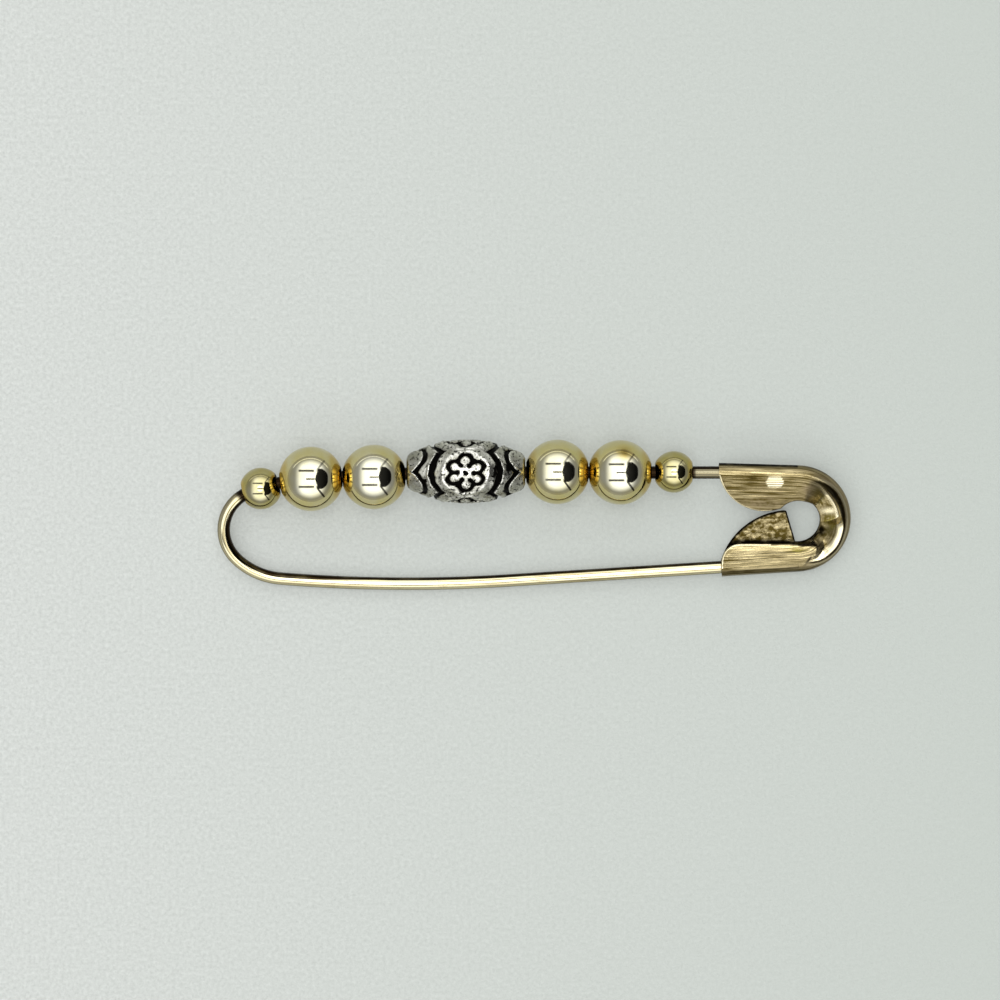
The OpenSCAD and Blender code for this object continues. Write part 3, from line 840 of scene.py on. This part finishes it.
streak = add(tree, MIX, {0: painted_light_and_stains[2], 2: streak, 3: curdled}, data_type="FLOAT")
streak = add(tree, MATH, {0: streak, 1: 2.2, 2: zones[0]}, operation="MULTIPLY_ADD")
stain = add(tree, RANGE, {0: streak, 1: 1.69, 2: 2.64})
tone = add(tree, MIX, {0: stain, COLOUR_A: "#B5A57C", COLOUR_B: "#463A16"}, **COLOUR)
grey = add(tree, RANGE, {0: blotch, 1: 0.35, 2: 0.6})
grey = add(tree, MATH, {0: zones[1], 1: grey}, operation="MULTIPLY")
tone = add(tree, MIX, {0: grey, COLOUR_A: tone, COLOUR_B: "#86775A"}, **COLOUR)
olive = add(tree, RANGE, {0: blotch, 1: 0.3, 2: 0.6})
olive = add(tree, MATH, {0: zones[2], 1: olive}, operation="MULTIPLY")
tone = add(tree, MIX, {0: olive, COLOUR_A: tone, COLOUR_B: "#6E6430"}, **COLOUR)
# Painted highlights: the glint, the sweep, the bright spot and lines, pale.
tone = add(tree, MIX, {0: painted_light_and_stains[1], COLOUR_A: tone, COLOUR_B: "#F6E9C2"}, **COLOUR)
# Black: painted shade from the marks, and pits in the deepest tarnish.
painted_shade = add(tree, RANGE, {0: blotch, 1: 0.25, 2: 0.5, 3: 0.66})
painted_shade = add(tree, MATH, {0: painted_light_and_stains[0], 1: painted_shade}, operation="MULTIPLY")
pitted = add(tree, RANGE, {0: mottle, 1: 0.5, 2: 0.62})
deep_brown = add(tree, RANGE, {0: zones[0], 1: 0.8, 2: 0.95})
black = add(tree, MATH, {0: pitted, 1: deep_brown, 2: painted_shade}, operation="MULTIPLY_ADD", use_clamp=True)
tone = add(tree, MIX, {0: black, COLOUR_A: tone, COLOUR_B: "#100B04"}, **COLOUR)
rough = add(tree, RANGE, {0: stain, 3: 0.14, 4: 0.34})
rough = add(tree, MATH, {0: zones[1], 1: 0.3, 2: rough}, operation="MULTIPLY_ADD", use_clamp=True)
rough = add(tree, MATH, {0: black, 1: 0.4, 2: rough}, operation="MULTIPLY_ADD", use_clamp=True)
height = add(tree, MATH, {0: blotch, 1: 0.5, 2: brush}, operation="MULTIPLY_ADD")
bump = add(tree, BUMP, {"Strength": 0.3, "Distance": 0.00006, "Height": height})
shader = add(tree, SHADER, {"Base Color": tone, "Metallic": 1.0, "Roughness": rough, "Normal": bump})
add(tree, OUTPUT, {0: shader}, out=None)


def plated(name, gold, pale):
    """Brass ball, tumbled and plated: a mirror whose gold wears thin in clouds that let the silvery base show,
    paler on top as a painted highlight, and black inside the bore as painted shade."""
    material, tree = new_finish(name)
    place = add(tree, VECTOR, {0: add(tree, COORDINATES, out="Object"), 1: PER_MM}, operation="MULTIPLY")
    wear_and_painted_light = add(tree, SPLIT, {0: add(tree, ATTRIBUTE, attribute_name="wear_and_painted_light", out="Vector")}, out=None)
    cloud = add(tree, VECTOR, {0: place, 1: per_cell(1.6, 1.6, 1.6)}, operation="MULTIPLY")
    cloud = add(tree, NOISE, {"Vector": cloud, "Scale": 1.0, "Detail": 3.0, "Roughness": 0.5})
    fine = add(tree, VECTOR, {0: place, 1: per_cell(0.3, 0.3, 0.3)}, operation="MULTIPLY")
    fine = add(tree, NOISE, {"Vector": fine, "Scale": 1.0, "Detail": 2.0, "Roughness": 0.5})
    # Silvery base where the gold wears thin, more on top as a painted highlight.
    thin = add(tree, MATH, {0: wear_and_painted_light[0], 1: cloud})
    thin = add(tree, RANGE, {0: thin, 1: 0.5, 2: 1.2})
    tone = add(tree, MIX, {0: thin, COLOUR_A: gold, COLOUR_B: pale}, **COLOUR)
    amber = add(tree, RANGE, {0: fine, 1: 0.3, 2: 0.6, 3: 0.6, 4: 0.95})
    amber = add(tree, MATH, {0: wear_and_painted_light[2], 1: amber}, operation="MULTIPLY")
    tone = add(tree, MIX, {0: amber, COLOUR_A: tone, COLOUR_B: "#BFA452"}, **COLOUR)
    # Painted shade: black inside the bore, with the smudge's dark core.
    tone = add(tree, MIX, {0: wear_and_painted_light[1], COLOUR_A: tone, COLOUR_B: "#1A0C06"}, **COLOUR)
    rough = add(tree, RANGE, {0: cloud, 1: 0.3, 2: 0.8, 3: 0.04, 4: 0.13})
    bump = add(tree, BUMP, {"Strength": 0.06, "Distance": 0.00002, "Height": fine})
    shader = add(tree, SHADER, {"Base Color": tone, "Metallic": 1.0, "Roughness": rough, "Normal": bump})
    add(tree, OUTPUT, {0: shader}, out=None)
    return material


large_finish = plated("plated_champagne_ball", "#C8BC82", "#D0CBB2")
small_finish = plated("plated_yellow_ball", "#ACA062", "#C6C0A4")

# Pewter, cast and dipped in black patina, then rubbed: bright on all that stands out, black in the recesses,
# with patches of painted shade beside the medallions and in the bore.
barrel_finish, tree = new_finish("antiqued_pewter")
place = add(tree, VECTOR, {0: add(tree, COORDINATES, out="Object"), 1: PER_MM}, operation="MULTIPLY")
patina_shade_and_rubbing = add(tree, SPLIT, {0: add(tree, ATTRIBUTE, attribute_name="patina_shade_and_rubbing", out="Vector")}, out=None)
pits = add(tree, VECTOR, {0: place, 1: per_cell(0.3, 0.3, 0.3)}, operation="MULTIPLY")
pits = add(tree, NOISE, {"Vector": pits, "Scale": 1.0, "Detail": 4.0, "Roughness": 0.65})
cloud = add(tree, VECTOR, {0: place, 1: per_cell(1.4, 1.0, 1.0)}, operation="MULTIPLY")
cloud = add(tree, NOISE, {"Vector": cloud, "Scale": 1.0, "Detail": 3.0, "Roughness": 0.6})
cloud = add(tree, RANGE, {0: cloud, 1: 0.35, 2: 0.7})
tone = add(tree, MIX, {0: cloud, COLOUR_A: "#B9B7AB", COLOUR_B: "#878474"}, **COLOUR)
rubbed = add(tree, RANGE, {0: pits, 1: 0.6, 2: 0.42})
rubbed = add(tree, MATH, {0: patina_shade_and_rubbing[1], 1: rubbed}, operation="MULTIPLY")
tone = add(tree, MIX, {0: rubbed, COLOUR_A: tone, COLOUR_B: "#DDDACF"}, **COLOUR)
pitted = add(tree, RANGE, {0: pits, 1: 0.49, 2: 0.65, 4: 0.65})
black = add(tree, MATH, {0: patina_shade_and_rubbing[0], 1: pitted})
black = add(tree, RANGE, {0: black, 1: 0.22, 2: 0.55})
tone = add(tree, MIX, {0: black, COLOUR_A: tone, COLOUR_B: "#0B0A08"}, **COLOUR)
rough = add(tree, RANGE, {0: black, 3: 0.26, 4: 0.6})
bump = add(tree, BUMP, {"Strength": 0.4, "Distance": 0.00008, "Height": pits})
shader = add(tree, SHADER, {"Base Color": tone, "Metallic": 1.0, "Roughness": rough, "Normal": bump})
add(tree, OUTPUT, {0: shader}, out=None)

# Matt painted board, faintly mottled, brighter towards the window on the left. A real room lights the board
# from all sides, so no shadow is deep: a faint glow stands in for that light.
floor_finish, tree = new_finish("matt_pale_board")
place = add(tree, VECTOR, {0: add(tree, COORDINATES, out="Object"), 1: PER_MM}, operation="MULTIPLY")
speck = add(tree, VECTOR, {0: place, 1: per_cell(0.35, 0.35, 0.35)}, operation="MULTIPLY")
speck = add(tree, NOISE, {"Vector": speck, "Scale": 1.0, "Detail": 3.0, "Roughness": 0.7})
mottled = add(tree, RANGE, {0: speck, 1: 0.3, 2: 0.7})
tone = add(tree, MIX, {0: mottled, COLOUR_A: "#8F908A", COLOUR_B: "#A9AAA4"}, **COLOUR)
right = add(tree, RANGE, {0: add(tree, SPLIT, {0: place}), 1: -50.0, 2: 50.0, 4: 0.9})
tone = add(tree, MIX, {0: right, COLOUR_A: tone, COLOUR_B: "#8A8F86"}, **COLOUR)
bump = add(tree, BUMP, {"Strength": 0.4, "Distance": 0.00015, "Height": speck})
shader = add(tree, SHADER, {"Base Color": tone, "Roughness": 0.7, "Normal": bump,
                            "Emission Color": "#FAFFFA", "Emission Strength": 0.22})
add(tree, OUTPUT, {0: shader}, out=None)

wire.data.materials.append(wire_finish)
cap.data.materials.append(cap_finish)
barrel.data.materials.append(barrel_finish)
for node, bead in beads:
    bead.data.materials.append(small_finish if "small" in node else large_finish)

# Bodies

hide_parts("wire_frame", "pin_arm")
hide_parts("cap")
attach(cap, "frame")
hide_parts("bead_barrel")
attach(barrel, "frame")
for node, bead in beads:
    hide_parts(node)
    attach(bead, "frame")
# Two places on either side of the bend at the wire's left end.
flex_from, flex_to = on_pin(-29.29, -3.5, 0), on_pin(-29.29, -7.5, 0)
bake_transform(wire)

# Floor

FLOOR_HALF = 700
corners = np.array([(-1, -1, 0), (1, -1, 0), (1, 1, 0), (-1, 1, 0)]) * FLOOR_HALF * MM
mesh = bpy.data.meshes.new("pale_board")
mesh.from_pydata(corners, [], [(0, 1, 2, 3)])
mesh.materials.append(floor_finish)
board = bpy.data.objects.new("pale_board", mesh)
bpy.context.scene.collection.objects.link(board)

# Camera: straight above, up the page is +Y.
CAMERA_X, CAMERA_Y = -3.19, 1.34
CAMERA_HEIGHT = 500
PICTURE_WIDTH = 94.35
PICTURE_LEVEL = 2.3
SENSOR = 36
CLIP_FROM_M, CLIP_TO_M = 0.01, 10
camera = bpy.data.objects.new("camera", bpy.data.cameras.new("camera"))
bpy.context.scene.collection.objects.link(camera)
camera.data.sensor_width = SENSOR
camera.data.lens = SENSOR * (CAMERA_HEIGHT - PICTURE_LEVEL) / PICTURE_WIDTH
camera.location = (CAMERA_X * MM, CAMERA_Y * MM, CAMERA_HEIGHT * MM)
camera.data.clip_start = CLIP_FROM_M
camera.data.clip_end = CLIP_TO_M
bpy.context.scene.camera = camera

# Studio light: one wide soft daylight panel overhead with a lamp in it, dim walls, and a dark card to the
# right with its thin stays. Each direction is read as the place where a ball shows it from above, 0 in the
# middle and 1 at the edge.
PANEL_LIGHT = 2.35
WALL_LIGHT = 0.43
BOARD_LIGHT = 0.51
LAMP_LIGHT = 4.3
world = bpy.data.worlds.new("studio")
bpy.context.scene.world = world
world.use_nodes = True
tree = world.node_tree
tree.nodes.clear()
way = add(tree, VECTOR, {0: add(tree, COORDINATES, out="Generated"), 1: (0, 0, 1)}, operation="ADD")
way = add(tree, VECTOR, {0: way}, operation="NORMALIZE")
ball_x, ball_y, ball_z = add(tree, SPLIT, {0: way}, out=None)
size_y = add(tree, MATH, {0: ball_y}, operation="ABSOLUTE")


def window(value, low, high, soft):
    """1 between low and high, falling to 0 over the soft width at each end."""
    rise = {0: value, 1: low - soft, 2: low}
    rise = add(tree, RANGE, rise, interpolation_type="SMOOTHSTEP")
    fall = {0: value, 1: high, 2: high + soft, 3: 1.0, 4: 0.0}
    fall = add(tree, RANGE, fall, interpolation_type="SMOOTHSTEP")
    return add(tree, MATH, {0: rise, 1: fall}, operation="MULTIPLY")


panel = {0: window(ball_x, -0.22, 0.25, 0.3), 1: window(ball_z, 0.93, 2.0, 0.16)}
panel = add(tree, MATH, panel, operation="MULTIPLY")
light = add(tree, RANGE, {0: panel, 3: WALL_LIGHT, 4: PANEL_LIGHT})
# The lamp behind the panel shows through its middle.
lamp = add(tree, RANGE, {0: ball_z, 1: 0.985, 2: 0.995, 4: LAMP_LIGHT}, interpolation_type="SMOOTHSTEP")
light = add(tree, MATH, {0: light, 1: lamp})
dim_right = add(tree, RANGE, {0: ball_x, 1: 0.3, 2: 0.6, 3: 1.0, 4: 0.85})
light = add(tree, MATH, {0: light, 1: dim_right}, operation="MULTIPLY")
# The walls end in the board itself, with a pale line where they meet it at the back.
below = add(tree, RANGE, {0: ball_z, 1: 0.74, 2: 0.77, 3: 1.0, 4: 0.0})
light = add(tree, MIX, {0: below, 2: light, 3: BOARD_LIGHT}, data_type="FLOAT")
pale_line = {0: window(ball_z, 0.772, 0.782, 0.006), 1: window(ball_y, 0.4, 1.0, 0.1)}
pale_line = add(tree, MATH, pale_line, operation="MULTIPLY")
light = add(tree, MATH, {0: pale_line, 1: 1.2, 2: light}, operation="MULTIPLY_ADD")
# The panel's frame: two long bars and a short one in the middle.
bars = {0: window(ball_x, -0.34, 0.09, 0.05), 1: window(size_y, 0.232, 0.262, 0.034)}
bars = add(tree, MATH, bars, operation="MULTIPLY")
middle = {0: window(ball_x, -0.12, 0.12, 0.04), 1: window(ball_y, -0.035, 0.02, 0.02)}
middle = add(tree, MATH, middle, operation="MULTIPLY")
# Two slanting stays, one above the card and a darker one below it.
slant = add(tree, MATH, {0: ball_x, 1: -1.33, 2: size_y}, operation="MULTIPLY_ADD")
stays = {0: window(slant, -0.035, 0.045, 0.02), 1: window(ball_x, 0.2, 0.42, 0.03)}
stays = add(tree, MATH, stays, operation="MULTIPLY")
stay_shade = add(tree, RANGE, {0: ball_y, 1: -0.05, 2: 0.05, 3: 1.2, 4: 0.7})
stays = add(tree, MATH, {0: stays, 1: stay_shade}, operation="MULTIPLY")
# The card: a slanting left edge, a right edge that curves in, and a top and bottom.
edge = add(tree, MATH, {0: size_y, 1: -0.3, 2: ball_x}, operation="MULTIPLY_ADD")
bulge = add(tree, MATH, {0: size_y, 1: 3.0}, operation="POWER")
bulge = add(tree, MATH, {0: bulge, 1: 6.0, 2: ball_x}, operation="MULTIPLY_ADD")
card = {0: window(edge, 0.15, 2.0, 0.02), 1: window(bulge, -1.0, 0.53, 0.02)}
card = add(tree, MATH, card, operation="MULTIPLY")
card = add(tree, MATH, {0: card, 1: window(size_y, -1.0, 0.3, 0.03)}, operation="MULTIPLY")
dark = add(tree, MATH, {0: bars, 1: middle}, operation="MAXIMUM")
dark = add(tree, MATH, {0: dark, 1: stays}, operation="MAXIMUM")
dark = add(tree, RANGE, {0: dark, 3: 1.0, 4: 0.06})
light = add(tree, MATH, {0: light, 1: dark}, operation="MULTIPLY")
card = add(tree, RANGE, {0: card, 3: 1.0, 4: 0.01})
light = add(tree, MATH, {0: light, 1: card}, operation="MULTIPLY")
daylight = add(tree, "ShaderNodeBackground", {"Color": "#F8FBFF", "Strength": light})
add(tree, "ShaderNodeOutputWorld", {0: daylight}, out=None)
bpy.context.scene.view_settings.view_transform = "Standard"
